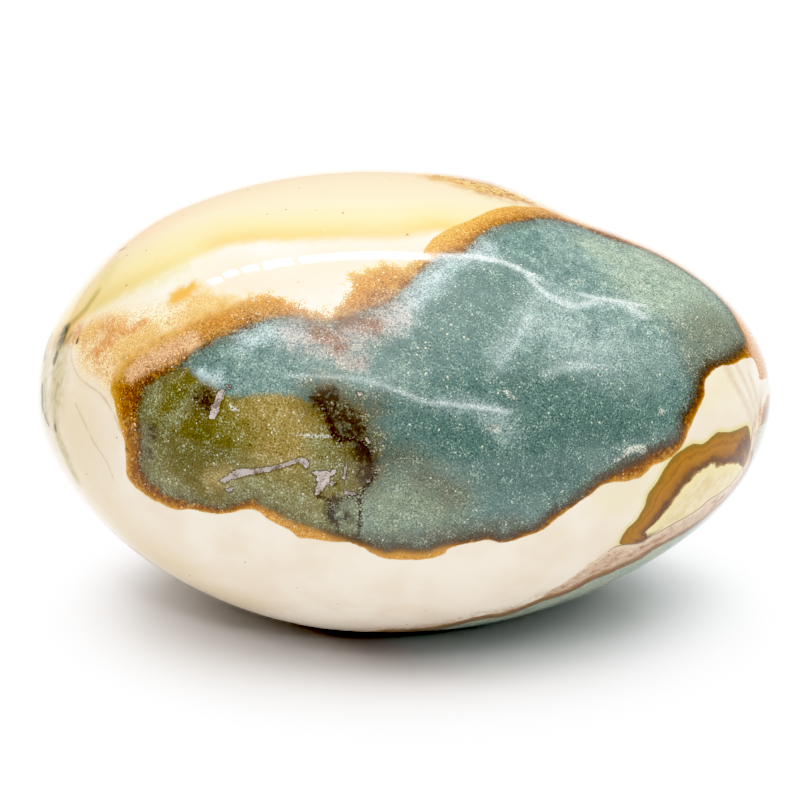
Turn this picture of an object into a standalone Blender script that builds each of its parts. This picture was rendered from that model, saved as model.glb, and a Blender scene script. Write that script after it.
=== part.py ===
"""Polished polychrome jasper worry stone: one free-form pebble that lies on a small ground flat.

Metres, +Z up. The stone's length runs along X, its front faces -Y, and the origin is on the
ground plane under the middle of the stone's bounding box.
"""

import math

import bmesh
import bpy
from mathutils import Vector

MM = 0.001

# Overall size, in millimetres
LENGTH = 70.0

# Half sizes of the ovoid at nine stations along the length, left tip to right tip, in millimetres
STATIONS = (-1.0, -0.75, -0.5, -0.25, 0.0, 0.25, 0.5, 0.75, 1.0)
RISE = (21.4, 22.6, 22.0, 21.4, 20.9, 20.3, 18.2, 18.6, 18.9)
DROP = (19.4, 21.3, 22.2, 22.5, 22.3, 22.1, 21.8, 21.4, 22.0)
FRONT = (23.0, 24.0, 24.6, 24.8, 24.6, 24.2, 23.4, 22.6, 22.0)
BACK = (22.0, 23.4, 24.4, 24.8, 24.6, 23.8, 22.4, 21.2, 20.4)

# Depth ground off the underside, which leaves the small flat that the stone lies on
REST_CUT = 0.45

ICOSPHERE_LEVEL = 5
SMOOTH_ANGLE = math.radians(30)
JASPER_COLOUR = (0.42, 0.53, 0.48, 1.0)
JASPER_ROUGHNESS = 0.14
JASPER_IOR = 1.54


def between(values, station):
    """Smooth curve through values, which stand at STATIONS, read at one station."""
    step = STATIONS[1] - STATIONS[0]
    place = min(max((station - STATIONS[0]) / step, 0.0), len(STATIONS) - 1.0001)
    index = int(place)
    t = place - index
    before = values[max(index - 1, 0)]
    start, end = values[index], values[index + 1]
    after = values[min(index + 2, len(values) - 1)]
    slope_start = (end - before) / 2
    slope_end = (after - start) / 2
    return (
        (2 * t**3 - 3 * t**2 + 1) * start
        + (t**3 - 2 * t**2 + t) * slope_start
        + (3 * t**2 - 2 * t**3) * end
        + (t**3 - t**2) * slope_end
    )


def uneven(share, minus_side, plus_side):
    """Half-oval coordinate whose reach is minus_side at share -1 and plus_side at share 1."""
    middle = (plus_side + minus_side) / 2
    lean = (plus_side - minus_side) / 2
    return middle * share + lean * share**2


def ovoid_point(direction):
    """Point of the ovoid, in millimetres, for a unit direction from its middle."""
    station = max(-1.0, min(1.0, direction.x))
    ring = math.sqrt(max(1.0 - station**2, 0.0))
    across = direction.y / ring if ring > 1e-6 else 0.0
    upward = direction.z / ring if ring > 1e-6 else 0.0
    return Vector((
        LENGTH / 2 * station,
        ring * uneven(across, between(FRONT, station), between(BACK, station)),
        ring * uneven(upward, between(DROP, station), between(RISE, station)),
    ))


def stone_mesh():
    """The stone as one closed mesh, in metres, standing on its ground flat."""
    shape = bmesh.new()
    bmesh.ops.create_icosphere(shape, subdivisions=ICOSPHERE_LEVEL, radius=1.0)
    for vertex in shape.verts:
        vertex.co = ovoid_point(vertex.co.normalized()) * MM
    ground = min(vertex.co.z for vertex in shape.verts) + REST_CUT * MM
    cut = bmesh.ops.bisect_plane(
        shape,
        geom=shape.verts[:] + shape.edges[:] + shape.faces[:],
        dist=1e-7,
        plane_co=(0.0, 0.0, ground),
        plane_no=(0.0, 0.0, -1.0),
        clear_outer=True,
    )
    rim = [item for item in cut["geom_cut"] if isinstance(item, bmesh.types.BMEdge)]
    bmesh.ops.contextual_create(shape, geom=rim)
    bmesh.ops.recalc_face_normals(shape, faces=shape.faces)
    lows = [min(vertex.co[axis] for vertex in shape.verts) for axis in range(3)]
    highs = [max(vertex.co[axis] for vertex in shape.verts) for axis in range(3)]
    to_origin = Vector((-(lows[0] + highs[0]) / 2, -(lows[1] + highs[1]) / 2, -lows[2]))
    bmesh.ops.translate(shape, verts=shape.verts, vec=to_origin)
    mesh = bpy.data.meshes.new("stone")
    shape.to_mesh(mesh)
    shape.free()
    mesh.shade_smooth()
    mesh.set_sharp_from_angle(angle=SMOOTH_ANGLE)
    return mesh


def jasper():
    """Plain polished stone finish."""
    material = bpy.data.materials.new("jasper")
    material.use_nodes = True
    shader = material.node_tree.nodes["Principled BSDF"]
    shader.inputs["Base Color"].default_value = JASPER_COLOUR
    shader.inputs["Roughness"].default_value = JASPER_ROUGHNESS
    shader.inputs["IOR"].default_value = JASPER_IOR
    return material


def main():
    for old in list(bpy.data.objects):
        bpy.data.objects.remove(old)
    collection = bpy.data.collections.new("worry_stone")
    bpy.context.scene.collection.children.link(collection)
    stone = bpy.data.objects.new("stone", stone_mesh())
    stone.data.materials.append(jasper())
    collection.objects.link(stone)


main()
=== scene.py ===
"""Looks of a polished polychrome jasper worry stone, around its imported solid.

The stone is one fine mesh on the solid's own form. Its markings are outlines, veins and washes whose
places are photograph pixels, cast onto the stone through the photograph's camera, on the near side or
the far side. Each becomes a distance or an amount stored on the mesh, and the material turns those
into colour. Stone sizes are in millimetres, and the scene is in metres.
"""

import math

import bmesh
import bpy
import numpy as np
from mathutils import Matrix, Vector
from mathutils.bvhtree import BVHTree


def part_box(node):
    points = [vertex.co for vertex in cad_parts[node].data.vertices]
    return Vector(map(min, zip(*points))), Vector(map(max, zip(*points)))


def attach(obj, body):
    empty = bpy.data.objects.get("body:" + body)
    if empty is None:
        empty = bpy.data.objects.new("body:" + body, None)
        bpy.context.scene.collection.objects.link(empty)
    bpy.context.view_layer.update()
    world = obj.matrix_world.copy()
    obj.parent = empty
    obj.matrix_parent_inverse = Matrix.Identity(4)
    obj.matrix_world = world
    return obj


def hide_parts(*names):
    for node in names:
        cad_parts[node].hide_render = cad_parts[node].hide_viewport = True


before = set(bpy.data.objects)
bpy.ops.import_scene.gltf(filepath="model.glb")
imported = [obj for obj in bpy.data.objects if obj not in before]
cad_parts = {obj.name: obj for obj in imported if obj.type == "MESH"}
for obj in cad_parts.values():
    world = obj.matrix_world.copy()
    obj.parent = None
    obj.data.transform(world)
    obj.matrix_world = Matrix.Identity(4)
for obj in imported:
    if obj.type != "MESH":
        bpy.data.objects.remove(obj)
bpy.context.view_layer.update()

MM = 0.001

# The photograph's camera: it looks along +Y, down at the stone
CAMERA_ELEVATION = math.radians(24)
CAMERA_DISTANCE = 420.0
CAMERA_AIM = (-0.35, 0.0, 21.2)
LENS = 198.2
SENSOR = 36.0
PHOTO_SIZE = 800

# Form of the solid: half sizes at nine stations along the length, as in the part's source
LENGTH = 70.0
STATIONS = (-1.0, -0.75, -0.5, -0.25, 0.0, 0.25, 0.5, 0.75, 1.0)
RISE = (21.4, 22.6, 22.0, 21.4, 20.9, 20.3, 18.2, 18.6, 18.9)
DROP = (19.4, 21.3, 22.2, 22.5, 22.3, 22.1, 21.8, 21.4, 22.0)
FRONT = (23.0, 24.0, 24.6, 24.8, 24.6, 24.2, 23.4, 22.6, 22.0)
BACK = (22.0, 23.4, 24.4, 24.8, 24.6, 23.8, 22.4, 21.2, 20.4)
REST_CUT = 0.45

# Mesh fineness: subdivisions of the ball that becomes the stone and of the coarser one that markings
# are cast onto, and how near to a marking's or a chip's edge the faces are split
BALL_LEVEL = 7
GUIDE_LEVEL = 6
LINE_REFINE = 0.9
CHIP_REFINE = (0.5, 0.3)
# Step between a line's samples, the largest depth and line distance that the mesh keeps, and how
# many places are measured against a line at one time
SAMPLE_STEP = 0.2
FIELD_REACH = 8.0
LINE_REACH = 2.0
BLOCK = 16384

# Third value of a pixel that is cast onto the hidden side of the stone
FAR = "far"


def far(*pixels):
    """Pixels of the hidden side of the stone."""
    return [(*pixel, FAR) for pixel in pixels]


# Outer edge of the teal and olive body, clockwise from the top left of its upper lobe
FRONT_EDGE = (
    (422, 253), (432, 239), (450, 228), (470, 220), (484, 213), (496, 208.5), (510, 206), (530, 206.5),
    (548, 208.5), (560, 212), (580, 219),
    *far(
        (605, 234), (650, 252), (690, 276), (725, 304), (742, 326), (752, 344), (760, 360), (764, 373),
    ),
    (762, 380), (758.5, 373), (755.5, 364), (751, 358), (741, 360.5), (734.5, 364.5), (719, 367),
    (711.5, 373), (705, 382), (704.6, 396), (698, 411), (691.6, 425), (685.5, 440), (679, 451),
    (666, 461), (653, 466), (641, 477), (626, 481.5), (611, 482.5), (600, 487), (591, 494.5), (581, 501),
    (570, 509.5), (559, 517), (550, 525), (541, 531), (527, 536), (514, 540.5), (500, 543), (488, 540),
    (472, 543), (456, 546), (448, 549), (444, 554), (435, 557.5), (425, 559.5), (410, 560), (396, 559.5),
    (384, 558.5), (372, 553.5), (362, 548), (349, 543), (330, 541.5), (307, 538.5), (298, 537.5),
    (291, 531.5), (280, 525.5), (266, 518), (258, 511.5), (248, 509.5), (234, 512), (218, 514.5),
    (202, 512), (190, 509), (179, 510.5), (168, 507.5), (155, 501), (143, 493.5), (132, 484), (126, 473),
    (125.5, 457), (124, 441), (119, 426), (114.5, 403), (110, 390), (114, 376), (121, 361), (134, 350.5),
    (150.5, 341), (166, 334), (180, 328), (188, 321), (197, 315.5), (207, 311), (218, 307), (230, 304),
    (242, 299.5), (255, 296), (269, 294.5), (283, 298.5), (296, 302.5), (310, 309), (320, 313),
    (327, 312.5), (334, 308), (341, 303), (345.5, 295), (348, 284), (352, 273.5), (361, 270),
    (374, 265.5), (388, 262.5), (403, 265.5), (414, 262),
)
# Where the body's ochre and brown rim ends and its core begins
FRONT_CORE = (
    (411, 283), (421, 272), (433, 262), (442, 255), (466, 252.5), (480, 237), (499, 227.5), (520, 222),
    (543, 219.5), (559, 221), (577, 226), (592, 232), (607, 238), (625, 243.5), (645, 250), (667, 260.5),
    (698, 279.5), (720, 298), (733, 316), (741, 331), (745, 342), (737, 353), (719, 362.5), (708, 367.5),
    (700.5, 380), (696.5, 394), (691, 406), (684.5, 416), (681, 428), (677, 439), (668, 445), (652, 452),
    (636, 461), (622, 467), (610, 474), (600, 479.5), (591, 486.5), (580, 496), (570, 503), (560, 508.5),
    (549, 517), (541, 524), (527, 530), (514, 535.5), (500, 538.5), (488, 535.5), (472, 538.5),
    (456, 541), (446, 543), (438, 545.5), (427, 549), (414, 550), (402, 548), (386, 550), (372, 546),
    (360, 542), (341, 536.5), (323, 530), (307, 525), (291, 519), (275, 510.5), (262, 505), (253, 499.5),
    (243, 501), (232, 505), (218, 507), (203, 504), (189, 500.5), (175, 497), (163, 492), (152, 483),
    (143, 470), (141.5, 451), (140.5, 429), (140, 412), (142, 397), (152, 383), (167, 375), (183, 363),
    (190, 357), (197, 351), (210, 344), (227, 337), (239, 331), (252, 325.5), (268, 320.5), (288, 317),
    (304, 319), (323, 323), (347, 318), (363, 311.5), (387, 303.5), (403, 292),
)
FRONT_MIDDLE = (430, 400)

# Olive part of the body, which ends under the rim on the left and below
OLIVE_EDGE = (
    (194, 372), (202, 382), (212, 389), (222, 392.5), (232, 395.5), (244, 395.5), (260, 394),
    (275, 393.5), (291, 394.5), (303, 397), (312, 402), (323, 408), (334, 420), (342, 436), (356, 446),
    (366, 457), (370, 470), (364, 486), (357, 495), (345, 497), (334, 504), (330, 514), (335, 524),
    (342, 536), (340, 550), (300, 550), (250, 525), (200, 522), (145, 508), (112, 470), (100, 400),
    (120, 366), (158, 372), (180, 366),
)
OLIVE_MIDDLE = (230, 450)

# Banded lens at the lower right, and its pale heart
LENS_EDGE = (
    (619, 544), (626, 530), (635, 521), (643, 508.5), (647.5, 495), (655, 484), (664, 469), (673, 456.5),
    (682.5, 449), (693, 443.5), (701, 443.5), (707, 441), (713, 435), (719, 431.5), (728, 432),
    (738, 429), (748, 426), (751, 441), (750, 456.5), (742, 472), (733, 484), (719, 493), (707, 502.5),
    (698, 510), (682.5, 521), (667, 527), (655, 533), (646, 540.5), (636, 544),
)
LENS_HEART = (
    (647, 532), (655, 524), (661.5, 517), (672, 504), (684, 489), (695, 476.5), (706, 468.5),
    (711, 464.5), (716, 468.5), (722.5, 466), (732, 464.5), (738.5, 465), (744, 470), (746, 482),
    (736, 494), (722, 508), (704, 522), (684, 534), (668, 541), (652, 544),
)
LENS_MIDDLE = (695, 482)

# Sandy, granular ground at the upper left
SAND_EDGE = (
    (71.5, 340), (72, 358), (75, 370), (81.5, 380), (101, 394.5), (113, 413), (120, 430), (150, 420),
    (215, 340), (300, 330), (300, 296), (262, 290), (232, 288), (212, 281), (196, 280), (180, 283),
    (165, 291), (145, 297), (125, 301), (102, 306), (84, 319),
)
SAND_MIDDLE = (150, 335)

# Butter-yellow band over the top: its sharp lower edge, and its other side on the far side
BAND_EDGE = (
    (60, 345), (82, 322), (104, 305), (130, 290), (165, 271.5), (200, 256), (230, 246), (262, 242.5),
    (300, 241), (350, 240), (400, 239), (440, 232), (490, 240), (540, 240), (600, 260),
    *far(
        (620, 300), (500, 330), (360, 330), (220, 340), (120, 360), (70, 380),
    ),
)
BAND_MIDDLE = (300, 190)

# Second, paler body: it shows under the lower right edge and at the top right, and covers the back
REAR_EDGE = (
    (340, 632), (380, 630), (410, 628.5), (430, 626.5), (455, 621.5), (480, 615.5), (500, 612.5),
    (520, 606.5), (542, 597), (560, 591.5), (576, 584.5), (592, 575.5), (608, 569), (621, 563),
    (640, 554), (652, 546), (668, 538), (684, 529), (700, 518.5), (710, 510), (722, 499.5), (732, 488.5),
    (742, 475), (748, 464), (752.5, 450), (760, 425), (765, 400),
    *far(
        (758, 360), (735, 325), (700, 290), (655, 262), (610, 236), (575, 219),
    ),
    (556, 211), (541, 206), (519, 201), (503, 197), (484, 192.5), (470, 187), (455, 181), (438, 176),
    *far(
        (415, 172), (370, 180), (320, 205), (270, 240), (240, 285), (246, 330), (220, 370), (190, 410),
        (200, 450), (240, 480), (255, 530), (275, 580), (310, 618),
    ),
)
REAR_CORE = (
    (400, 633), (430, 631), (455, 626), (480, 620), (500, 617.5), (520, 611), (542, 602), (560, 596.5),
    (576, 590), (592, 581), (608, 574.5), (621, 568.5), (640, 560), (652, 551), (668, 542.5), (684, 534),
    (700, 523), (710, 514.5), (722, 503.5), (732, 492.5), (742, 480), (749, 468), (753, 455), (756, 430),
    *far(
        (758, 400), (738, 350), (705, 305), (660, 278), (610, 262), (560, 252), (500, 246), (440, 236),
        (390, 232), (340, 240), (290, 260), (262, 300), (268, 340), (240, 380), (214, 415), (224, 440),
        (262, 466), (280, 520), (300, 570), (340, 612),
    ),
)
REAR_MIDDLE = (500, 420, FAR)

# Pinkish, streaked band between the lens and the second body
SHELL_EDGE = (
    (540, 597), (562, 584), (582, 570), (598, 557), (612, 548), (626, 544.5), (640, 543), (650, 537),
    (661, 531), (673, 524), (687, 516.5), (700, 508), (708, 500.5), (716, 495.5), (729, 486), (738, 475),
    (746, 462), (750, 448), (752, 434), (754.5, 420), (757, 434), (756, 450), (752, 464), (744, 480),
    (734, 494), (724, 505), (712, 516), (700, 525), (684, 536), (668, 544.5), (652, 553), (640, 561),
    (621, 570), (608, 576), (592, 583), (576, 592), (560, 599),
)
SHELL_MIDDLE = (676, 530)

# Every outline with a place inside it, and the one whose edge is too soft to need finer faces
OUTLINES = {
    "front_edge": (FRONT_EDGE, FRONT_MIDDLE),
    "front_core": (FRONT_CORE, FRONT_MIDDLE),
    "olive_edge": (OLIVE_EDGE, OLIVE_MIDDLE),
    "lens_edge": (LENS_EDGE, LENS_MIDDLE),
    "lens_heart": (LENS_HEART, LENS_MIDDLE),
    "shell_edge": (SHELL_EDGE, SHELL_MIDDLE),
    "sand_edge": (SAND_EDGE, SAND_MIDDLE),
    "band_edge": (BAND_EDGE, BAND_MIDDLE),
    "rear_edge": (REAR_EDGE, REAR_MIDDLE),
    "rear_core": (REAR_CORE, REAR_MIDDLE),
}
SOFT_OUTLINE = "sand_edge"

# Thin dark brown veins in the body
VEINS = (
    ((318, 400), (324, 408), (331, 425), (337, 438), (354, 440), (364, 446), (368.5, 456), (370, 462),
     (372, 470), (375, 475), (370, 481.5), (364, 488), (359, 497), (360.5, 513), (359, 529), (357.5, 538)),
    ((320.5, 497.5), (330, 502), (333.5, 505.5), (329, 513.5), (333.5, 520), (337, 525), (341.5, 535.5),
     (352.5, 539), (360.5, 542), (372, 545)),
    ((333.5, 503.5), (344.5, 497.5), (354, 494.5), (359, 496)),
    far((520, 470), (480, 455), (455, 430), (440, 395), (450, 360), (480, 335)),
    far((440, 395), (410, 380), (385, 350)),
)
# Hair-fine lines in the pale ground
HAIRS = (
    ((72, 345), (71.5, 358), (75, 370), (81.5, 380), (101, 394.5), (113, 413), (120, 430)),
    ((76, 405), (84, 422), (95, 444), (107, 462), (113, 478)),
    ((54, 334), (45, 363), (41.5, 391), (42.5, 412), (54, 432)),
    ((740, 340), (748, 352), (755.5, 361), (760, 371), (761.5, 379)),
    ((717, 470), (713, 483), (710, 500)),
    ((613, 278.5), (653, 282.5), (674, 292.5), (698, 305), (725, 327)),
    far((150, 300), (170, 360), (160, 430), (180, 500)),
    far((110, 330), (130, 400), (128, 460)),
)

# Chips: unpolished hollows, each an outline
CHIPS = (
    ((222.8, 389), (226, 389.8), (223.6, 398.6), (220.5, 402), (218.5, 412.5), (214, 419.3), (210, 420),
     (208.4, 415), (211.6, 405), (216, 397), (219, 391)),
    ((226, 385), (230.7, 385.8), (230.7, 389), (227.6, 389)),
    ((219.6, 480), (227.6, 475.9), (234, 471), (240.3, 468.7), (253, 469.2), (269, 466.8), (277, 465.2),
     (285, 462.8), (293, 460), (300.9, 457.5), (307.3, 459), (308.9, 464), (307.3, 468.7), (304, 467.9),
     (299.3, 462.6), (291.3, 464.3), (278.6, 468.9), (269, 471.2), (259.4, 473.7), (250, 474.6),
     (243.5, 476.2), (230.7, 479.6), (226, 482.4), (222.8, 484)),
    ((225, 489.4), (230.7, 487.8), (234, 487.8), (231.5, 491.8), (227.6, 492.6)),
    ((312, 471.9), (323.9, 471), (330.3, 472.2), (332.5, 469.3), (336, 470.3), (335.9, 473.5), (330, 477),
     (328.7, 481.5), (324, 487.8), (322.3, 491.8), (317.5, 495.8), (314.4, 494.2), (315.1, 487.8),
     (317.5, 483), (315.9, 476.7), (312.8, 475)),
    ((329.5, 483), (333, 481.3), (336, 482.5), (334, 485.6), (330.5, 485.4)),
    ((346.2, 463.5), (347.4, 465.5), (345.2, 478.5), (343, 478.5), (343.8, 470.3)),
    ((344.6, 491.6), (354.2, 492), (356.8, 494.2), (352.6, 495.2), (345.4, 494.1)),
    ((365.2, 438.4), (367, 437.4), (368.8, 440), (371.9, 442.4), (368.6, 443.7), (365.4, 441.6)),
    ((366, 480), (370.2, 479), (370.2, 482.3), (367.8, 484.5), (365.5, 482.3)),
    ((357.4, 392), (363, 392.8), (362.2, 394.8), (358.2, 394.8)),
)
CHIP_DEPTH = 0.2
CHIP_WALL = 0.12
# No vertex at a chip is this far from the chip's middle
CHIP_WINDOW = 6.0

# Washes: soft patches of colour. A few of them are painted light: painted sheen and painted glints on
# the teal, painted reflection in some of the pale patches, and painted shade on the cream's lower
# flanks. Each stroke is a radius in millimetres and a line of pixels, and the amount is 1 on the line,
# 0.5 at the radius and 0 at twice the radius.
WASHES = {
    # in the front body
    "mint": (
        (4.4, (655, 262), (690, 290), (712, 318)), (3.0, (640, 285), (668, 300)),
        (2.0, (596, 246), (622, 262)), (3.5, *far((560, 300), (500, 290))),
        (3.0, *far((330, 520), (380, 560))),
    ),
    "sage": (
        (3.0, (386, 514), (408, 498), (432, 508)),
    ),
    "deep": (
        (2.0, (455, 395), (520, 388), (580, 378), (612, 366)), (4.2, (470, 462), (520, 482), (570, 462)),
        (3.0, (415, 420), (450, 442)), (2.2, (378, 336), (402, 345), (432, 345)),
        (2.4, (470, 275), (500, 285), (530, 300)), (5.0, (620, 430), (560, 420)),
        (3.0, (410, 320), (450, 305), (490, 312), (500, 335)),
        (5.5, *far((600, 440), (560, 380), (500, 350))), (4.0, *far((420, 500), (480, 540))),
    ),
    # partly the stone's own paler teal, partly painted reflection: haze of mirrored light near the
    # highlights
    "pale": (
        (0.6, (200, 374), (207, 379), (217, 379)), (1.2, (248, 336), (268, 330), (296, 332)),
        (1.5, (397, 312), (410, 292), (430, 276)), (1.2, (440, 262), (480, 250)),
        (2.0, *far((650, 450), (690, 400))),
    ),
    # painted reflection: a pale, bluish sheen where the lamps' light is mirrored on the teal
    "painted_sheen": (
        (2.0, (546, 302), (562, 330), (582, 350), (606, 356)), (1.2, (532, 306), (522, 328), (502, 350)),
        (0.8, (446, 402), (470, 404), (490, 409)), (1.0, (484, 408), (497, 420), (506, 431)),
    ),
    "lilac": (
        (1.9, (302, 327), (330, 332), (360, 324), (386, 314)), (0.8, (333, 348), (346, 360), (360, 362)),
        (1.6, *far((300, 330), (330, 300))),
    ),
    "rust": (
        (0.8, (318, 332), (328, 336), (338, 345)), (0.7, (345, 322), (360, 322), (374, 326)),
        (1.2, *far((345, 420), (365, 400))),
    ),
    "moss": (
        (2.6, (165, 436), (180, 452), (196, 452)), (2.0, (205, 440), (216, 455)),
        (1.4, (176, 400), (190, 396)), (2.4, *far((310, 470), (330, 430))),
    ),
    "mustard": (
        (1.9, (266, 407), (288, 412), (298, 430)), (1.7, (276, 450), (296, 446), (300, 425)),
        (0.9, (214, 479), (226, 476)), (1.8, *far((300, 420), (315, 385))),
    ),
    "lichen": (
        (1.0, (154, 394), (148, 415), (147, 440), (150, 462), (163, 484), (186, 497)),
        (0.8, (164, 424), (183, 412), (196, 394)), (1.4, (242, 488), (272, 498), (302, 506), (325, 520)),
        (1.2, (318, 445), (326, 455), (322, 475)), (1.0, (345, 460), (352, 480)),
    ),
    "bark": (
        (1.9, (322, 400), (338, 410), (350, 422), (356, 436)), (1.2, (330, 392), (338, 400)),
        (1.0, (206, 396), (202, 405)), (1.5, (356, 452), (366, 464), (364, 480)),
    ),
    "umber": (
        (0.85, (324, 402), (336, 411), (348, 421), (356, 430)), (0.6, (318, 398), (331, 394)),
        (0.5, (330, 418), (338, 436), (350, 432)), (0.7, (203, 397), (209, 402)),
        (0.45, (152.5, 430), (152.5, 436)), (0.35, (149.5, 453), (150, 455)),
        (0.5, (334, 500), (331, 510), (334, 520)), (0.35, (347, 516), (349, 519)),
        (0.7, (362, 450), (368, 462), (366, 474)), (1.0, *far((470, 470), (455, 440), (462, 420))),
    ),
    "smoke": (
        (1.6, (376, 452), (402, 460)), (1.3, (425, 475), (440, 485), (454, 496)),
        (2.6, (700, 340), (716, 330), (730, 338)), (1.2, (362, 410), (376, 404)),
        (1.0, (372, 540), (420, 538), (470, 530), (512, 524)), (1.6, (696, 366), (712, 348)),
    ),
    "islet": (
        (1.2, (345, 508), (348, 530)),
    ),
    # painted highlight: thin bright streaks of mirrored light on the teal
    "painted_glints": (
        (0.27, (626, 453), (633, 449), (640, 448.5), (644, 451)), (0.2, (618, 459), (626, 455)),
        (0.14, (506, 392), (515, 399.5)), (0.16, (484, 428.5), (494, 427), (501, 426.5)),
        (0.12, (494, 431), (500, 430)), (0.2, (660, 412), (661.5, 413)),
        (0.1, (291, 435), (310, 436), (331, 436.5)), (0.08, (229, 403), (235.5, 411), (243.5, 413.7)),
    ),
    # in the front body's rim
    "honey": (
        (0.9, (190, 336), (204, 328), (220, 321), (232, 316)), (0.8, (258, 303), (274, 301), (294, 304)),
        (0.8, (352, 300), (366, 284), (388, 278)),
    ),
    "salmon": (
        (0.9, (146, 362), (168, 352), (190, 342)), (0.7, (132, 374), (148, 364)),
    ),
    "bright": (
        (1.0, (262, 516), (285, 526), (310, 535), (340, 540)), (1.2, (372, 552), (405, 555), (440, 552)),
        (1.5, (430, 246), (450, 234), (480, 216), (510, 207), (545, 208), (590, 224)),
    ),
    "tan": (
        (1.8, (640, 243), (700, 277), (735, 308), (750, 332), (757, 348)),
    ),
    "russet": (
        (1.5, (746, 332), (752, 345), (758, 358), (761, 374)),
    ),
    "loose": (
        (2.2, (168, 334), (190, 320), (218, 308)), (2.4, (218, 308), (242, 300), (270, 297), (300, 306)),
        (2.0, (300, 306), (330, 312), (350, 290), (372, 272), (400, 268)),
        (1.6, (120, 362), (145, 345), (168, 334)),
    ),
    "lining": (
        (1.5, (345, 537), (372, 545), (400, 545), (430, 542), (470, 537), (500, 536)),
        (1.6, (500, 536), (530, 524), (560, 504), (590, 482), (610, 470), (640, 452)),
        (1.1, (660, 446), (680, 420), (694, 392), (700, 370), (716, 354), (733, 344)),
    ),
    # in the pale ground
    "amber": (
        (0.8, (108, 326), (113, 333), (108, 340)), (0.6, (104, 343), (96, 354)),
        (0.4, (122, 333), (132, 329), (142, 324)), (0.6, (72, 340), (78, 331)),
    ),
    "blush": (
        (3.4, (150, 226), (200, 199), (260, 181), (330, 170), (400, 170)),
        (3.0, *far((60, 520), (90, 400), (120, 300))),
        (2.8, (222, 276), (260, 282), (300, 280), (345, 262), (405, 258)),
    ),
    # painted shade: darker, warmer cream along the lower flanks and the bottom, where less light reaches
    "painted_shade_low": (
        (4.0, (72, 425), (78, 460), (98, 500), (130, 535), (168, 562)), (2.6, (196, 584), (240, 602)),
        (2.0, (610, 562), (650, 545), (690, 520)), (3.0, *far((100, 560), (160, 600))),
    ),
    "milk": (
        (1.1, (138, 309), (156, 303), (172, 301)), (0.7, (160, 297), (180, 303)),
    ),
    "straw": (
        (2.0, (610, 500), (640, 488), (664, 470)), (1.6, (708, 398), (722, 384), (730, 398)),
        (2.2, (92, 306), (118, 284), (150, 268), (180, 258)),
    ),
    "gold": (
        (1.5, (440, 177), (480, 187), (520, 196), (552, 208)), (0.3, (596, 298.7), (596.5, 299.2)),
        (0.28, (626, 261.7), (626.4, 262.2)), (0.35, (760, 411), (759, 424), (756, 442)),
        (0.8, (176, 297), (184, 292), (191, 288)),
    ),
    "wisp": (
        (0.4, (97, 293), (84, 311), (70, 325), (63, 334)), (1.5, (58, 345), (58, 370), (55, 396)),
        (0.6, (54, 404), (58, 436), (66, 456), (76, 478)), (1.1, (48, 345), (44, 380), (45, 412)),
        (0.35, (60, 352), (70, 336)),
    ),
    "stain": (
        (1.3, (100, 304), (122, 290), (146, 280), (178, 268)), (0.9, (92, 300), (104, 282), (113, 266)),
        (0.5, (132, 289), (150, 281), (164, 272)),
    ),
    "crease": (
        (0.35, (726, 369), (734, 382), (743, 398), (749, 412), (753, 430)),
        (0.3, (737, 366), (744, 380), (751, 398), (756, 416)), (0.5, (728, 369), (731, 376)),
        (0.3, (750, 376), (757, 400)),
    ),
    "soot": (
        (0.75, (62, 338.5), (64.5, 332)), (0.34, (54.5, 361), (56.5, 355)), (0.2, (55, 426), (55.6, 429)),
        (0.32, (42.2, 388), (42, 398), (42.8, 409)), (0.3, (45, 358), (47, 346), (51, 336)),
        (0.14, (77, 342), (80, 336)), (0.2, (45, 414), (48, 424)),
        (0.13, (121, 250), (125, 247.5), (129, 245.5)),
    ),
    "shine": (
        (1.7, (190, 300), (212, 298), (236, 294)), (1.0, (190, 313), (204, 304)),
        (1.0, (78, 332), (92, 330)), (0.9, (120, 350), (132, 342), (150, 334)),
    ),
    # in the lens
    "spot": (
        (0.3, (662.5, 509), (665.5, 504)), (0.55, (740, 447), (743, 458)), (0.7, (746, 440), (748, 460)),
        (0.6, (640, 541), (655, 536)),
    ),
}

# Share of a shown colour that the stone reflects, as the light is strong enough to burn paper out
TONE_GAIN = 0.73
# Turn of the streaks' direction, up to the right in the photograph, and how long they are drawn
STREAK_TURN = (0.0, math.radians(-42), math.radians(20))
STREAK_STRETCH = 9.0
# Depth of the butter band over which its colour changes, and widths between which the second body's
# rim turns from plain to layered
BAND_DEPTH = 10.0
WIDE_RIM = (4.0, 7.0)
# Polish: roughness of the smooth ground, what the granular bodies add to it, that of the chips, and
# the height of the grain's relief
POLISH_ROUGHNESS = 0.045
GRAIN_ROUGHNESS = 0.055
CHIP_ROUGHNESS = 0.6
GRAIN_RELIEF = 0.001
JASPER_IOR = 1.54
JASPER_SPECULAR = 0.22

# White paper under the stone, half its width in metres
FLOOR_HALF = 3.0
FLOOR_COLOUR = (0.875, 0.88, 0.9, 1.0)
FLOOR_ROUGHNESS = 0.7
FLOOR_SPECULAR = 0.2

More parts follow.
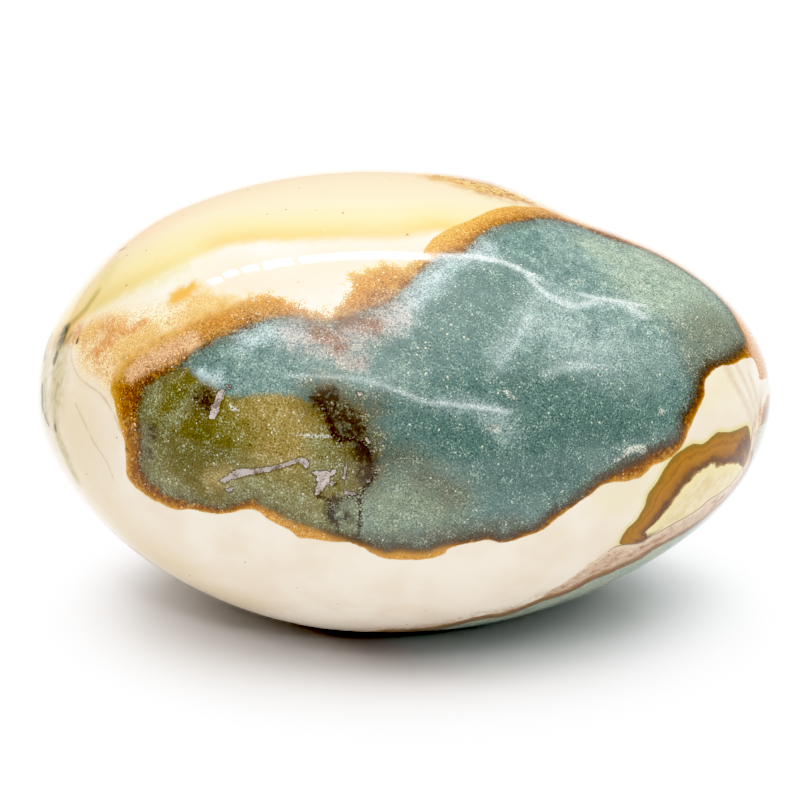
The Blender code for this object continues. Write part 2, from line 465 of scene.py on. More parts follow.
# Strips of the light box's ceiling frame: places of both ends in the ceiling plane, width and radiance
CEILING_HEIGHT = 420.0
STRIPS = {
    "back_left_1": ((-264, 106), (-238, 112), 26, 38.0),
    "back_left_2": ((-229, 120), (-201, 125), 28, 38.0),
    "back_left_3": ((-190, 124), (-162, 128), 28, 38.0),
    "back_left_4": ((-151, 127), (-108, 130), 32, 38.0),
    "back_left_5": ((-97, 131), (55, 150), 30, 38.0),
    "back_right": ((58, 156), (325, 268), 15, 26.0),
    "corner": ((292, 236), (345, 178), 14, 26.0),
    "right": ((303, 60), (245, -370), 18, 9.0),
    "right_outer": ((423, -260), (412, -100), 18, 15.0),
    "front": ((-255, -372), (-60, -395), 14, 24.0),
    "front_corner": ((-60, -395), (20, -470), 14, 24.0),
    "front_turn": ((20, -470), (110, -605), 18, 24.0),
    "front_far": ((110, -605), (270, -645), 30, 26.0),
    "front_end": ((270, -645), (520, -730), 50, 26.0),
}

# The picture's tone curve: light that still shows as black, light that just shows as white, and
# (share of the way between them, share of full brightness) on the way, with a soft shoulder
BLACK_LEVEL = 0.045
WHITE_LEVEL = 1.45
SHOULDER = ((0.313, 0.47), (0.519, 0.74), (0.656, 0.87), (0.794, 0.95))

# The tent's brightness at the horizon, the height (sine of the elevation) where that has faded out,
# the brightness overhead, the power of the height by which that falls off, and the least brightness
TENT_LOW = 0.2
TENT_LOW_END = 0.3
TENT_HIGH = 4.8
TENT_POWER = 4.8
TENT_LEAST = 0.02
# Round regions of the tent, a soft box, a smaller one at the right, and the backdrop: azimuth to the
# right of the front, elevation, and angles at which the region ends and is full, all in degrees, and
# the brightness that it adds
TENT_REGIONS = (
    (-14.0, 58.0, 24.0, 8.0, 2.2),
    (85.0, 52.0, 24.0, 6.0, 0.25),
    (180.0, 8.0, 40.0, 15.0, 0.3),
)


def unit(vector):
    return vector / np.linalg.norm(vector)


# Camera axes: to the right in the photograph, up in it, and back towards the camera
VIEW_RIGHT = np.array((1.0, 0.0, 0.0))
VIEW_UP = np.array((0.0, math.sin(CAMERA_ELEVATION), math.cos(CAMERA_ELEVATION)))
VIEW_BACK = np.array((0.0, -math.cos(CAMERA_ELEVATION), math.sin(CAMERA_ELEVATION)))
CAMERA_PLACE = np.array(CAMERA_AIM) + VIEW_BACK * CAMERA_DISTANCE
PIXEL_SLOPE = SENSOR / LENS / PHOTO_SIZE


def curve(before, start, end, after, t):
    """Smooth curve from start, at t 0, to end, at t 1, which comes from before and goes to after."""
    return 0.5 * (
        2 * start + (end - before) * t + (2 * before - 5 * start + 4 * end - after) * t**2
        + (3 * start - before - 3 * end + after) * t**3
    )


def between(values, station):
    """Smooth curve through values, which stand at STATIONS, read at an array of stations."""
    values = np.array(values)
    step = STATIONS[1] - STATIONS[0]
    place = np.clip((station - STATIONS[0]) / step, 0.0, len(STATIONS) - 1.0001)
    index = place.astype(int)
    before = values[np.maximum(index - 1, 0)]
    after = values[np.minimum(index + 2, len(values) - 1)]
    return curve(before, values[index], values[index + 1], after, place - index)


def uneven(share, minus_side, plus_side):
    """Half-oval coordinate whose reach is minus_side at share -1 and plus_side at share 1."""
    return (plus_side + minus_side) / 2 * share + (plus_side - minus_side) / 2 * share**2


def ovoid(directions):
    """Points of the stone's form, ground flat included, for unit directions from its middle."""
    station = np.clip(directions[:, 0], -1.0, 1.0)
    ring = np.sqrt(np.maximum(1.0 - station**2, 0.0))
    safe_ring = np.maximum(ring, 1e-6)
    across = directions[:, 1] / safe_ring
    upward = directions[:, 2] / safe_ring
    points = np.stack((
        LENGTH / 2 * station,
        ring * uneven(across, between(FRONT, station), between(BACK, station)),
        ring * uneven(upward, between(DROP, station), between(RISE, station)),
    ), axis=1)
    points[:, 2] = np.maximum(points[:, 2], points[:, 2].min() + REST_CUT)
    return points


def ball(level):
    """A ball of triangles, subdivided to a level."""
    shape = bmesh.new()
    bmesh.ops.create_icosphere(shape, subdivisions=level, radius=1.0)
    return shape


def directions_of(shape):
    """Unit directions of a ball's vertices."""
    places = np.array([vertex.co for vertex in shape.verts])
    return places / np.linalg.norm(places, axis=1, keepdims=True)


def in_frame(points, reference):
    """Points moved and fitted from the form's own box, that of reference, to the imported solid's box."""
    low, high = (np.array(corner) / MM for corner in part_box("stone"))
    own_low, own_high = reference.min(0), reference.max(0)
    return low + (points - own_low) * (high - low) / (own_high - own_low)


# The stone's form on the coarser ball, which pixels are cast onto, and the middle of its box
guide_shape = ball(GUIDE_LEVEL)
guide_form = ovoid(directions_of(guide_shape))
guide_points = in_frame(guide_form, guide_form)
guide = BVHTree.FromPolygons(guide_points.tolist(), [[v.index for v in f.verts] for f in guide_shape.faces])
guide_shape.free()
CENTRE = (guide_points.min(0) + guide_points.max(0)) / 2


def on_stone(pixel):
    """Point of the stone that a photograph pixel shows, or hides on the far side."""
    x, y = pixel[:2]
    ray = VIEW_RIGHT * (x - PHOTO_SIZE / 2) * PIXEL_SLOPE + VIEW_UP * (PHOTO_SIZE / 2 - y) * PIXEL_SLOPE
    ray = unit(ray - VIEW_BACK)
    start = CAMERA_PLACE
    if pixel[2:] == (FAR,):
        start = CAMERA_PLACE + ray * 2 * CAMERA_DISTANCE
        ray = -ray
    hit = guide.ray_cast(Vector(start), Vector(ray))[0]
    if hit is None:
        along = (CENTRE - start) @ ray
        hit = guide.find_nearest(Vector(start + ray * along))[0]
    return np.array(hit)


def traced(pixels, closed=False, bend=1.0):
    """Even samples along a line on the stone through photograph pixels, smooth at bend 1, straight at 0."""
    knots = np.array([on_stone(pixel) for pixel in pixels])
    padded = np.concatenate((knots[-1:], knots, knots[:2]) if closed else (knots[:1], knots, knots[-1:]))
    samples = []
    for before, start, end, after in zip(padded, padded[1:], padded[2:], padded[3:]):
        steps = max(1, math.ceil(np.linalg.norm(end - start) / SAMPLE_STEP))
        for t in np.arange(steps) / steps:
            smooth = curve(before, start, end, after, t)
            samples.append(bend * smooth + (1 - bend) * (start + (end - start) * t))
    if not closed:
        samples.append(knots[-1])
    return np.array([guide.find_nearest(Vector(sample))[0] for sample in samples])


def distance_to(places, line):
    """Distance from each place to a sampled line, in millimetres."""
    square = (line**2).sum(1)
    tangent = np.gradient(line, axis=0)
    tangent /= np.maximum(np.linalg.norm(tangent, axis=1, keepdims=True), 1e-9)
    result = np.empty(len(places))
    for start in range(0, len(places), BLOCK):
        part = places[start:start + BLOCK]
        nearest = (square - 2 * part @ line.T).argmin(1)
        offset = part - line[nearest]
        along = np.clip((offset * tangent[nearest]).sum(1), -SAMPLE_STEP / 2, SAMPLE_STEP / 2)
        result[start:start + BLOCK] = np.linalg.norm(offset - tangent[nearest] * along[:, None], axis=1)
    return result


def distance_within(places, line, reach):
    """Distance from each place to a sampled line, worked out only near the line, and else reach."""
    result = np.full(len(places), reach)
    near = ((places > line.min(0) - reach) & (places < line.max(0) + reach)).all(1)
    result[near] = np.minimum(distance_to(places[near], line), reach)
    return result


def inside(places, loop, middle):
    """Which places lie within a loop on the stone, on the side of it where middle is."""
    pole = unit(middle - CENTRE)
    east = unit(np.cross(pole, VIEW_UP))
    north = np.cross(pole, east)

    def flattened(points):
        away = points - CENTRE
        away = away / np.linalg.norm(away, axis=1, keepdims=True)
        return np.stack((away @ east, away @ north), axis=1) / np.maximum(1 + away @ pole, 1e-4)[:, None]

    flat = flattened(places)
    corners = flattened(loop)
    within = np.zeros(len(places), bool)
    for (x1, y1), (x2, y2) in zip(corners, np.roll(corners, -1, axis=0)):
        if y1 == y2:
            continue
        spans = (y1 > flat[:, 1]) != (y2 > flat[:, 1])
        within ^= spans & (flat[:, 0] < (x2 - x1) * (flat[:, 1] - y1) / (y2 - y1) + x1)
    return within


def depth_in(places, loop, middle):
    """Distance from a loop's edge, positive inside the loop, and at most FIELD_REACH."""
    distance = distance_within(places, loop, FIELD_REACH)
    return np.where(inside(places, loop, middle), distance, -distance)


outlines = {name: (traced(edge, True), on_stone(middle)) for name, (edge, middle) in OUTLINES.items()}
veins = [traced(line) for line in VEINS]
hairs = [traced(line) for line in HAIRS]
chips = [traced(outline, True, 0.0) for outline in CHIPS]


def placed(directions):
    """Points of the stone, in the frame, for unit directions from its middle."""
    return in_frame(ovoid(directions), guide_form)


def split(shape, lines, reach):
    """Halves the edges of the ball, both of whose ends lie within reach of a line on the stone."""
    places = placed(directions_of(shape))
    near = np.zeros(len(places), bool)
    for line in lines:
        near |= distance_within(places, line, reach) < reach
    edges = [edge for edge in shape.edges if near[edge.verts[0].index] and near[edge.verts[1].index]]
    bmesh.ops.subdivide_edges(shape, edges=edges, cuts=1, use_grid_fill=True)
    bmesh.ops.triangulate(shape, faces=[face for face in shape.faces if len(face.verts) > 3])
    shape.verts.index_update()


def stone_mesh():
    """The stone's mesh, still a ball, and its points on the stone before the chips, in millimetres."""
    shape = ball(BALL_LEVEL)
    sharp_lines = [line for name, (line, middle) in outlines.items() if name != SOFT_OUTLINE]
    split(shape, sharp_lines + veins + hairs, LINE_REFINE)
    for reach in CHIP_REFINE:
        split(shape, chips, reach)
    directions = directions_of(shape)
    mesh = bpy.data.meshes.new("jasper_stone")
    shape.to_mesh(mesh)
    shape.free()
    return mesh, placed(directions)


def chip_depths(places):
    """Depth inside the nearest chip's outline, negative outside, in millimetres."""
    depth = np.full(len(places), -FIELD_REACH)
    for outline in chips:
        middle = outline.mean(0)
        close = np.linalg.norm(places - middle, axis=1) < CHIP_WINDOW
        depth[close] = np.maximum(depth[close], depth_in(places[close], outline, middle))
    return depth


def smooth_step(values, low, high):
    share = np.clip((values - low) / (high - low), 0.0, 1.0)
    return share**2 * (3 - 2 * share)


def store(mesh, name, values):
    """Keeps a value for each vertex under a name that the material reads."""
    layer = mesh.attributes.new(name, "FLOAT", "POINT")
    layer.data.foreach_set("value", values.astype(np.float32))


def stroke_amounts(places, strokes):
    """Largest amount of any of the strokes at each place, from 0 to 1."""
    amount = np.zeros(len(places))
    for radius, *pixels in strokes:
        amount = np.maximum(amount, 1 - distance_within(places, traced(pixels), 2 * radius) / (2 * radius))
    return amount


def add_object(name, data):
    """A new object in the scene that shows a mesh, a lamp or a camera."""
    made = bpy.data.objects.new(name, data)
    bpy.context.scene.collection.objects.link(made)
    return made


def make_stone():
    mesh, places = stone_mesh()
    chip = chip_depths(places)
    stretch = guide_points.max(0) - guide_points.min(0)
    normals = (places - CENTRE) / stretch**2
    normals /= np.linalg.norm(normals, axis=1, keepdims=True)
    sunk = places - normals * (CHIP_DEPTH * smooth_step(chip, 0.0, CHIP_WALL))[:, None]
    mesh.vertices.foreach_set("co", (sunk * MM).ravel())
    for name, (line, middle) in outlines.items():
        store(mesh, name, depth_in(places, line, middle))
    for name, lines in (("vein", veins), ("hair", hairs)):
        store(mesh, name, np.min([distance_within(places, line, LINE_REACH) for line in lines], axis=0))
    for name, strokes in WASHES.items():
        store(mesh, name, stroke_amounts(places, strokes))
    store(mesh, "chip", chip)
    mesh.shade_smooth()
    mesh.update()
    return add_object("jasper_stone", mesh)


def tone(shown):
    """Surface colour that shows as these 0 to 255 values on the stone's front, in this scene's light."""
    shares = [value / 255 for value in shown]
    light = [s / 12.92 if s <= 0.04045 else ((s + 0.055) / 1.055)**2.4 for s in shares]
    return [*(share * TONE_GAIN for share in light), 1.0]


class Graph:
    """Makes and joins the nodes of one material. Its colours are tuples of the values that they show as."""

    def __init__(self, material):
        self.tree = material.node_tree

    def node(self, kind, **settings):
        made = self.tree.nodes.new(kind)
        for name, value in settings.items():
            setattr(made, name, value)
        return made

    def feed(self, socket, value):
        """Joins a socket to another node's output, or sets it to a colour or a plain value."""
        if isinstance(value, bpy.types.NodeSocket):
            self.tree.links.new(value, socket)
        elif isinstance(value, tuple):
            socket.default_value = tone(value)
        else:
            socket.default_value = value

    def math(self, operation, *values, clamp=False):
        made = self.node("ShaderNodeMath", operation=operation, use_clamp=clamp)
        for socket, value in zip(made.inputs, values):
            self.feed(socket, value)
        return made.outputs[0]

    def times(self, value, other):
        return self.math("MULTIPLY", value, other)

    def add(self, value, other, scale=1.0):
        """A value plus another one times a scale."""
        return self.math("MULTIPLY_ADD", other, scale, value)

    def field(self, name):
        """What the mesh holds under a name."""
        return self.node("ShaderNodeAttribute", attribute_name=name).outputs["Fac"]

    def uneven(self, value, **shares):
        """A value, or the field of that name, plus shares of the stone's noises."""
        total = self.field(value) if isinstance(value, str) else value
        for noise, share in shares.items():
            total = self.add(total, getattr(self, noise), share)
        return total

    def noise(self, vector, per_mm, detail, roughness=0.5):
        """Cloudy noise about 0, with that many features to a millimetre."""
        made = self.node("ShaderNodeTexNoise")
        self.feed(made.inputs["Vector"], vector)
        made.inputs["Scale"].default_value = per_mm / MM
        made.inputs["Detail"].default_value = detail
        made.inputs["Roughness"].default_value = roughness
        return self.math("SUBTRACT", made.outputs["Fac"], 0.5)

    def spots(self, vector, per_mm, radius, share):
        """Round specks, of 0.3 to 1 times a radius in cell widths, in about that share of the cells."""
        made = self.node("ShaderNodeTexVoronoi")
        self.feed(made.inputs["Vector"], vector)
        made.inputs["Scale"].default_value = per_mm / MM
        random = self.node("ShaderNodeSeparateColor")
        self.feed(random.inputs[0], made.outputs["Color"])
        chosen = self.math("LESS_THAN", random.outputs[0], share)
        reach = self.times(self.math("ADD", random.outputs[1], 0.4), radius / 1.4)
        round_share = self.step(self.math("DIVIDE", made.outputs["Distance"], reach), 1.0, 0.6)
        return self.times(chosen, round_share)

    def step(self, value, low, high):
        """0 at low and 1 at high, smooth between them, whichever is the larger."""
        made = self.node("ShaderNodeMapRange", interpolation_type="SMOOTHSTEP")
        for socket, entry in zip(made.inputs, (value, low, high, 0.0, 1.0)):
            self.feed(socket, entry)
        return made.outputs[0]

    def mix(self, amount, below, above, blend="MIX"):
        made = self.node("ShaderNodeMix", data_type="RGBA", blend_type=blend)
        for socket, entry in zip((made.inputs[0], made.inputs[6], made.inputs[7]), (amount, below, above)):
            self.feed(socket, entry)
        return made.outputs[2]

    def paint(self, below, colour, amount, strength=1.0):
        """Lays a colour over another one, by an amount times a strength."""
        return self.mix(self.times(amount, strength), below, colour)

    def ramp(self, value, stops):
        """Colour along a value, through (place from 0 to 1, colour) stops."""
        made = self.node("ShaderNodeValToRGB")
        self.feed(made.inputs[0], value)
        elements = made.color_ramp.elements
        while len(elements) < len(stops):
            elements.new(0.5)
        for element, (place, colour) in zip(elements, stops):
            element.position = place
            element.color = tone(colour)
        return made.outputs[0]

    def wash_amount(self, name, blur, wobble, texture=None):
        """How much of a wash there is, its edge made uneven by the mottling or another texture."""
        uneven_share = self.math("MULTIPLY_ADD", texture or self.mottle, 2 * wobble, 1.0)
        reach = self.times(self.field(name), uneven_share)
        return self.step(reach, 0.5 - blur / 2, 0.5 + blur / 2)

    def wash(self, below, name, colour, blur, wobble, strength, texture=None):
        """Paints a wash over a colour."""
        return self.paint(below, colour, self.wash_amount(name, blur, wobble, texture), strength)

    def washes(self, below, *rows):
        """Paints washes one over another, each a row of its name, colour, blur, wobble and strength."""
        for row in rows:
            below = self.wash(below, *row)
        return below

    def textures(self):
        """The noises that the stone's colours share, from broad clouds to single grains."""
        place = self.node("ShaderNodeTexCoord").outputs["Object"]
        along = self.node("ShaderNodeMapping", vector_type="TEXTURE")
        self.feed(along.inputs["Vector"], place)
        along.inputs["Rotation"].default_value = STREAK_TURN
        along.inputs["Scale"].default_value = (STREAK_STRETCH, 1.0, 1.0)
        self.drift = self.noise(place, 0.18, 3)
        self.cloud = self.noise(place, 0.9, 3, 0.6)
        self.grain = self.noise(place, 6.5, 1.5, 0.6)
        self.streak = self.noise(along.outputs[0], 2.2, 3, 0.6)
        self.clumps = self.noise(place, 2.4, 2, 0.6)
        self.glitter = self.spots(place, 2.6, 0.3, self.math("MULTIPLY_ADD", self.cloud, 1.6, 0.22))
        in_band = self.step(self.field("band_edge"), 0.0, 1.0)
        self.specks = self.spots(place, 0.6, 0.1, self.math("MULTIPLY_ADD", in_band, 0.25, 0.4))
        self.mottle = self.add(self.cloud, self.grain, 0.8)


def new_material(name, inputs):
    """A new material, and its shader with some inputs set."""
    material = bpy.data.materials.new(name)
    material.use_nodes = True
    shader = material.node_tree.nodes["Principled BSDF"]
    for entry, value in inputs.items():
        shader.inputs[entry].default_value = value
    return material, shader


def share_between(graph, edge, core):
    """0 at an outer edge and 1 at an inner one, from the depths inside both."""
    gap = graph.math("SUBTRACT", edge, core)
    return graph.math("DIVIDE", edge, graph.math("MAXIMUM", gap, 0.02))


def salt_and_pepper(graph, colour, light, depth=1.0):
    """Sugary grains: the colour itself lighter and darker, pale crystals, and a few bright ones."""
    shade = graph.math("MULTIPLY_ADD", graph.grain, 2.6 * depth, 1.0)
    colour = graph.mix(1.0, colour, shade, "MULTIPLY")
    pale = graph.step(graph.uneven(graph.grain, cloud=0.5), 0.1, 0.2)
    colour = graph.paint(colour, light, pale, 0.5 * depth)
    return graph.paint(colour, (238, 234, 206), graph.glitter, 0.8)


def ground_colour(graph):
    """Cream ground with its butter band, sandy corner, stains, wisps and specks, and painted shade on its
    lower flanks.
    """
    colour = graph.mix(graph.step(graph.drift, -0.15, 0.15), (248, 234, 214), (240, 222, 198))
    band = graph.uneven("band_edge", cloud=0.8, streak=0.25)
    buttery = graph.ramp(graph.math("DIVIDE", band, BAND_DEPTH, clamp=True), (
        (0.0, (234, 168, 96)), (0.08, (235, 184, 116)), (0.3, (237, 205, 152)), (0.6, (238, 210, 172)),
        (1.0, (236, 200, 168)),
    ))
    # painted shade: darker cream on the lower flanks and the bottom
    colour = graph.wash(colour, "painted_shade_low", (228, 204, 166), 1.0, 0.3, 0.8)
    colour = graph.mix(graph.step(band, -0.9, 1.0), colour, buttery)
    colour = graph.washes(
        colour,
        ("blush", (240, 194, 160), 1.0, 0.3, 0.6),
        ("straw", (236, 222, 172), 1.0, 0.8, 0.4),
        ("stain", (204, 190, 118), 1.0, 1.2, 0.45),
    )
    striped = graph.math("MULTIPLY_ADD", graph.step(graph.streak, -0.08, 0.12), 0.3, 0.65)
    wispy = graph.times(graph.wash_amount("wisp", 1.0, 0.5, graph.cloud), striped)
    colour = graph.mix(wispy, colour, (172, 154, 92))
    sand = graph.mix(graph.step(graph.mottle, -0.16, 0.16), (226, 176, 122), (244, 212, 166))
    sand = graph.washes(
        sand,
        ("shine", (224, 176, 110), 1.0, 0.8, 0.9),
        ("milk", (250, 232, 208), 1.0, 1.0, 0.45),
    )
    sand = salt_and_pepper(graph, sand, (255, 242, 208), 0.6)
    sandy = graph.uneven("sand_edge", cloud=2.6, grain=2.0)
    colour = graph.mix(graph.step(sandy, -0.1, 1.6), colour, sand)
    colour = graph.washes(
        colour,
        ("amber", (198, 132, 70), 1.0, 1.4, 0.7, graph.clumps),
        ("gold", (222, 158, 60), 0.9, 0.8, 0.9),
        ("crease", (206, 182, 154), 1.0, 0.3, 0.6),
    )
    thread = graph.step(graph.uneven("hair", cloud=0.3), 0.22, 0.02)
    colour = graph.paint(colour, (190, 158, 122), thread, 0.5)
    colour = graph.wash(colour, "soot", (70, 70, 46), 0.7, 0.8, 0.9)
    return graph.paint(colour, (104, 76, 50), graph.specks, 0.75)


def lens_colour(graph, ground):
    """The banded lens over the ground, and the streaked pinkish band that cuts it off below."""
    edge = graph.uneven("lens_edge", cloud=0.25)
    share = share_between(graph, edge, graph.field("lens_heart"))
    bands = graph.ramp(graph.uneven(share, cloud=0.35, streak=0.12, grain=0.15), (
        (0.0, (140, 112, 34)), (0.09, (146, 98, 12)), (0.24, (170, 114, 18)), (0.33, (148, 94, 12)),
        (0.42, (174, 116, 20)), (0.62, (158, 102, 20)), (0.76, (112, 72, 22)), (0.87, (102, 66, 30)),
        (0.95, (170, 130, 68)), (1.0, (238, 220, 160)),
    ))
    heart = graph.step(graph.uneven(graph.cloud, streak=0.6), -0.16, 0.16)
    heart = graph.mix(heart, (224, 198, 146), (238, 218, 174))
    bands = graph.mix(graph.step(graph.field("lens_heart"), 0.1, 1.4), bands, heart)
    bands = graph.wash(bands, "spot", (88, 52, 34), 0.8, 1.0, 0.8)
    colour = graph.paint(ground, (224, 208, 134), graph.step(edge, -0.7, 0.0), 0.8)
    colour = graph.mix(graph.step(edge, -0.03, 0.08), colour, bands)
    shell = graph.uneven("shell_edge", cloud=0.8, grain=0.5)
    wavy = graph.uneven(graph.times(graph.streak, 0.55), cloud=0.7, clumps=0.35)
    flesh = graph.mix(graph.step(wavy, 0.0, 0.16), (210, 178, 150), (156, 114, 84))
    flesh = graph.mix(graph.step(wavy, -0.08, -0.22), flesh, (228, 202, 174))
    fringe = graph.step(graph.uneven(shell, clumps=2.4), 1.1, 0.2)
    flesh = graph.paint(flesh, (228, 206, 176), fringe, 0.75)
    flesh = graph.paint(flesh, (128, 84, 60), graph.step(graph.grain, 0.04, 0.2), 0.25)
    colour = graph.mix(graph.step(shell, -0.25, 0.3), colour, flesh)
    crack = graph.step(graph.math("ABSOLUTE", graph.field("shell_edge")), 0.16, 0.02)
    cracked = graph.times(crack, graph.step(graph.field("lens_edge"), -1.2, -0.2))
    return graph.paint(colour, (112, 72, 50), cracked, 0.75)


def core_colour(graph):
    """Teal and olive inside of the front body, with painted sheen, painted reflection in part of its pale
    patches, and painted glints.
    """
    patches = graph.step(graph.uneven(graph.drift, cloud=0.5), -0.14, 0.14)
    colour = graph.washes(
        graph.mix(patches, (106, 131, 125), (128, 150, 143)),
        ("deep", (86, 111, 104), 1.0, 0.7, 0.8),
        ("mint", (156, 170, 150), 1.0, 0.5, 0.8),
        ("sage", (138, 146, 118), 1.0, 0.6, 0.75),
        # painted sheen: the mirrored lamps' haze on the teal, laid in as a pale colour
        ("painted_sheen", (172, 190, 186), 1.0, 0.5, 0.42),
        # pale patches: partly the stone's own colour, partly painted reflection haze near the highlights
        ("pale", (178, 198, 198), 0.9, 0.6, 0.8),
        ("lilac", (176, 158, 148), 0.9, 1.2, 0.7),
        ("rust", (136, 90, 62), 0.9, 1.4, 0.8, graph.clumps),
    )
    olive = graph.washes(
        graph.mix(patches, (118, 104, 52), (136, 124, 74)),
        ("moss", (98, 90, 40), 1.0, 0.8, 0.8),
        ("mustard", (166, 144, 92), 1.0, 0.4, 0.85),
        ("lichen", (134, 132, 96), 1.0, 1.0, 0.7),
    )
    reach = graph.uneven("olive_edge", cloud=1.2, grain=1.6)
    colour = graph.washes(
        graph.mix(graph.step(reach, -0.25, 0.35), colour, olive),
        ("smoke", (98, 94, 78), 1.0, 1.2, 0.65),
        ("islet", (124, 126, 96), 0.7, 0.8, 0.9),
        ("bark", (104, 90, 60), 1.0, 1.2, 0.85),
        # painted highlight: thin bright streaks of mirrored light
        ("painted_glints", (204, 206, 190), 0.7, 1.6, 0.85),
    )
    vein = graph.step(graph.uneven("vein", clumps=0.9, grain=0.9), 0.3, 0.05)
    colour = graph.paint(colour, (58, 38, 24), vein, 0.85)
    shade = graph.math("MULTIPLY_ADD", graph.cloud, 0.7, 1.0)
    return graph.mix(1.0, colour, shade, "MULTIPLY")


def front_rim(graph, share):
    """Ochre and brown rim of the front body, by the share of the way from its edge to the core."""
    rim = graph.ramp(share, (
        (0.0, (214, 170, 86)), (0.14, (182, 126, 42)), (0.36, (148, 92, 32)), (0.62, (128, 78, 34)),
        (0.86, (108, 68, 36)), (1.0, (94, 66, 42)),
    ))
    rim = graph.paint(rim, (206, 148, 56), graph.step(graph.clumps, 0.02, 0.16), 0.6)
    rim = graph.paint(rim, (104, 58, 14), graph.step(graph.clumps, -0.06, -0.2), 0.7)
    rim = graph.washes(
        rim,
        ("bright", (214, 156, 80), 0.9, 0.6, 0.8),
        ("loose", (218, 172, 108), 1.0, 1.2, 0.5),
        ("honey", (188, 124, 48), 1.0, 1.6, 0.65, graph.clumps),
        ("salmon", (218, 174, 134), 0.9, 0.7, 0.85),
        ("lilac", (176, 140, 112), 0.9, 1.0, 0.7),
        ("tan", (212, 170, 134), 1.0, 0.3, 0.85),
        ("russet", (196, 138, 80), 1.0, 0.5, 0.85),
    )
    return salt_and_pepper(graph, rim, (232, 196, 122), 0.8)


def front_colour(graph, ground):
    """The front body over the ground: its core and its rim."""
    core = graph.field("front_core")
    unevenness = graph.uneven(graph.times(graph.cloud, 2.6), grain=3.4)
    loose = graph.times(graph.wash_amount("loose", 1.0, 0.2), unevenness)
    edge = graph.add(graph.uneven("front_edge", cloud=0.3, grain=0.15), loose)
    rim = front_rim(graph, graph.uneven(share_between(graph, edge, core), mottle=0.35))
    inner = salt_and_pepper(graph, core_colour(graph), (184, 202, 180))
    inner = graph.wash(inner, "umber", (64, 48, 38), 0.9, 2.4, 0.85, graph.clumps)
    depth = graph.uneven(core, grain=1.8, cloud=0.8)
    colour = graph.mix(graph.step(depth, -0.35, 0.35), rim, inner)
    dusk = graph.times(graph.step(depth, 1.7, 0.1), graph.step(depth, -0.5, 0.1))
    colour = graph.paint(colour, (88, 84, 66), dusk, 0.45)
    seam = graph.step(graph.math("ABSOLUTE", graph.math("SUBTRACT", depth, 0.1)), 0.9, 0.1)
    lined = graph.times(seam, graph.step(graph.field("lining"), 0.05, 0.6))
    colour = graph.paint(colour, (78, 54, 36), lined, 0.6)
    return graph.mix(graph.step(edge, -0.06, 0.10), ground, colour)


def rear_inside(graph):
    """Pale teal inside of the second body, with its washes and veins."""
    inner = graph.washes(
        graph.mix(graph.step(graph.drift, -0.12, 0.12), (168, 176, 152), (148, 164, 150)),
        ("deep", (90, 128, 120), 1.0, 0.9, 0.85),
        ("mint", (166, 188, 166), 1.0, 0.6, 0.8),
        ("moss", (112, 104, 44), 1.0, 1.0, 0.9),
        ("mustard", (176, 154, 80), 0.9, 0.8, 0.85),
        ("lilac", (176, 158, 148), 0.9, 1.0, 0.8),
        ("rust", (140, 92, 66), 0.9, 1.4, 0.8),
        ("umber", (64, 46, 22), 0.9, 2.0, 0.9),
    )
    vein = graph.step(graph.uneven("vein", cloud=0.8, grain=1.2), 0.36, 0.05)
    inner = graph.paint(inner, (84, 56, 38), vein, 0.8)
    return salt_and_pepper(graph, inner, (202, 216, 200), 0.6)


def rear_rim(graph, share, width):
    """Brown rim of the second body, in layers where it is wide, and in gold lines at the top right."""
    rim = graph.ramp(share, (
        (0.0, (186, 148, 104)), (0.25, (150, 106, 60)), (0.6, (120, 80, 40)), (0.85, (132, 98, 48)),
        (1.0, (146, 130, 88)),
    ))
    layers = graph.ramp(graph.uneven(share, cloud=0.12), (
        (0.0, (198, 160, 112)), (0.1, (160, 112, 66)), (0.2, (206, 160, 104)), (0.3, (170, 118, 68)),
        (0.44, (140, 94, 52)), (0.54, (196, 146, 88)), (0.66, (132, 86, 46)), (0.82, (110, 74, 40)),
        (0.92, (160, 122, 64)), (1.0, (146, 130, 88)),
    ))
    rim = graph.mix(graph.step(width, *WIDE_RIM), rim, layers)
    lines = graph.mix(graph.step(graph.streak, -0.02, 0.1), (228, 186, 112), (164, 108, 50))
    return graph.mix(graph.wash_amount("gold", 1.0, 0.6), rim, lines)


def rear_colour(graph, ground):
    """The second, paler body over the ground."""
    core = graph.field("rear_core")
    edge = graph.uneven("rear_edge", cloud=0.5, streak=0.6)
    share = graph.uneven(share_between(graph, edge, core), mottle=0.4)
    rim = rear_rim(graph, share, graph.math("SUBTRACT", edge, core))
    depth = graph.uneven(core, grain=1.0, cloud=0.4)
    colour = graph.mix(graph.step(depth, -0.15, 0.15), rim, rear_inside(graph))
    haze = graph.times(graph.step(edge, -2.4, 0.2), graph.step(graph.mottle, -0.2, 0.2))
    ground = graph.paint(ground, (176, 134, 94), haze, 0.7)
    return graph.mix(graph.step(edge, -0.12, 0.2), ground, colour)


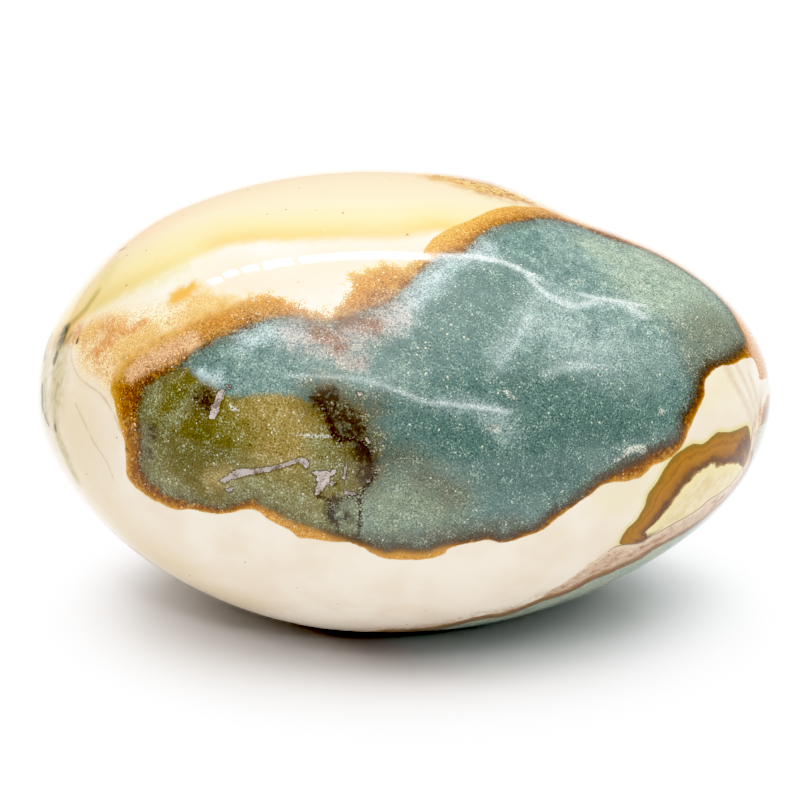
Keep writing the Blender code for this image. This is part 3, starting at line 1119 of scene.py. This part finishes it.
def jasper():
    """Polished picture-banded jasper, painted from the stone's fields, with powdery chips ringed by painted
    shade.
    """
    material, shader = new_material("jasper", {"IOR": JASPER_IOR, "Specular IOR Level": JASPER_SPECULAR})
    graph = Graph(material)
    graph.textures()
    colour = front_colour(graph, rear_colour(graph, lens_colour(graph, ground_colour(graph))))
    chip = graph.uneven("chip", grain=0.2, clumps=0.35)
    # painted shade: a dark ring just outside each chip's edge, standing for the shadow of its rim
    colour = graph.paint(colour, (62, 50, 30), graph.step(chip, -0.2, -0.02), 0.6)
    bare = graph.step(chip, 0.0, 0.05)
    powder = graph.mix(graph.step(graph.mottle, -0.16, 0.04), (140, 124, 110), (212, 200, 194))
    colour = graph.paint(colour, powder, bare, 0.95)
    granular = graph.math("MAXIMUM", *(
        graph.step(graph.field(name), 0.0, 1.0) for name in ("front_edge", "rear_core")
    ))
    polish = graph.add(POLISH_ROUGHNESS, granular, GRAIN_ROUGHNESS)
    graph.feed(shader.inputs["Base Color"], colour)
    graph.feed(shader.inputs["Roughness"], graph.math("MAXIMUM", polish, graph.times(bare, CHIP_ROUGHNESS)))
    bump = graph.node("ShaderNodeBump")
    bump.inputs["Distance"].default_value = GRAIN_RELIEF * MM
    graph.feed(bump.inputs["Height"], graph.times(graph.grain, granular))
    graph.feed(shader.inputs["Normal"], bump.outputs[0])
    return material


def make_floor():
    shape = bmesh.new()
    bmesh.ops.create_grid(shape, x_segments=1, y_segments=1, size=FLOOR_HALF)
    mesh = bpy.data.meshes.new("floor")
    shape.to_mesh(mesh)
    shape.free()
    mesh.materials.append(new_material("white_paper", {
        "Base Color": FLOOR_COLOUR, "Roughness": FLOOR_ROUGHNESS, "Specular IOR Level": FLOOR_SPECULAR,
    })[0])
    floor = add_object("floor", mesh)


def strip_lamp(name, start, end, width, radiance):
    """A strip of the light box's ceiling frame, facing down, between two places in the ceiling plane."""
    start, end = np.array(start) * MM, np.array(end) * MM
    length = np.linalg.norm(end - start)
    data = bpy.data.lights.new(name, "AREA")
    data.shape = "RECTANGLE"
    data.size = length
    data.size_y = width * MM
    data.energy = radiance * math.pi * length * width * MM
    lamp = add_object(name, data)
    lamp.location = (*((start + end) / 2), CEILING_HEIGHT * MM)
    lamp.rotation_euler = (0.0, 0.0, math.atan2(end[1] - start[1], end[0] - start[0]))


def tent_strength(world):
    """Brightness of the tent by direction: dim at the horizon, bright overhead, and its regions."""
    graph = Graph(world)
    direction = graph.node("ShaderNodeTexCoord").outputs["Generated"]
    axes = graph.node("ShaderNodeSeparateXYZ")
    graph.feed(axes.inputs[0], direction)
    height = graph.math("MAXIMUM", axes.outputs["Z"], 0.0)
    low = graph.times(graph.step(height, TENT_LOW_END, 0.0), TENT_LOW)
    strength = graph.add(low, graph.math("POWER", height, TENT_POWER), TENT_HIGH)
    for *angles, extra in TENT_REGIONS:
        across, upward, end, full = map(math.radians, angles)
        towards = graph.node("ShaderNodeVectorMath", operation="DOT_PRODUCT")
        graph.feed(towards.inputs[0], direction)
        towards.inputs[1].default_value = (
            math.sin(across) * math.cos(upward), -math.cos(across) * math.cos(upward), math.sin(upward),
        )
        share = graph.step(towards.outputs["Value"], math.cos(end), math.cos(full))
        strength = graph.add(strength, share, extra)
    return graph.math("MAXIMUM", strength, TENT_LEAST)


def make_light():
    world = bpy.data.worlds.new("white_tent")
    bpy.context.scene.world = world
    world.use_nodes = True
    background = world.node_tree.nodes["Background"]
    background.inputs["Color"].default_value = (1.0, 1.0, 1.0, 1.0)
    world.node_tree.links.new(tent_strength(world), background.inputs["Strength"])
    for name, strip in STRIPS.items():
        strip_lamp(name, *strip)
    view = bpy.context.scene.view_settings
    view.view_transform = "Standard"
    view.use_curve_mapping = True
    view.curve_mapping.black_level = (BLACK_LEVEL,) * 3
    view.curve_mapping.white_level = (WHITE_LEVEL,) * 3
    for place, brightness in SHOULDER:
        view.curve_mapping.curves[3].points.new(place, brightness)
    view.curve_mapping.update()


def make_camera():
    data = bpy.data.cameras.new("camera")
    data.lens = LENS
    data.sensor_width = SENSOR
    camera = add_object("camera", data)
    camera.location = Vector(CAMERA_PLACE * MM)
    camera.rotation_euler = (math.pi / 2 - CAMERA_ELEVATION, 0.0, 0.0)
    bpy.context.scene.camera = camera


stone = make_stone()
stone.data.materials.append(jasper())
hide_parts("stone")
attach(stone, "root")
make_floor()
make_light()
make_camera()
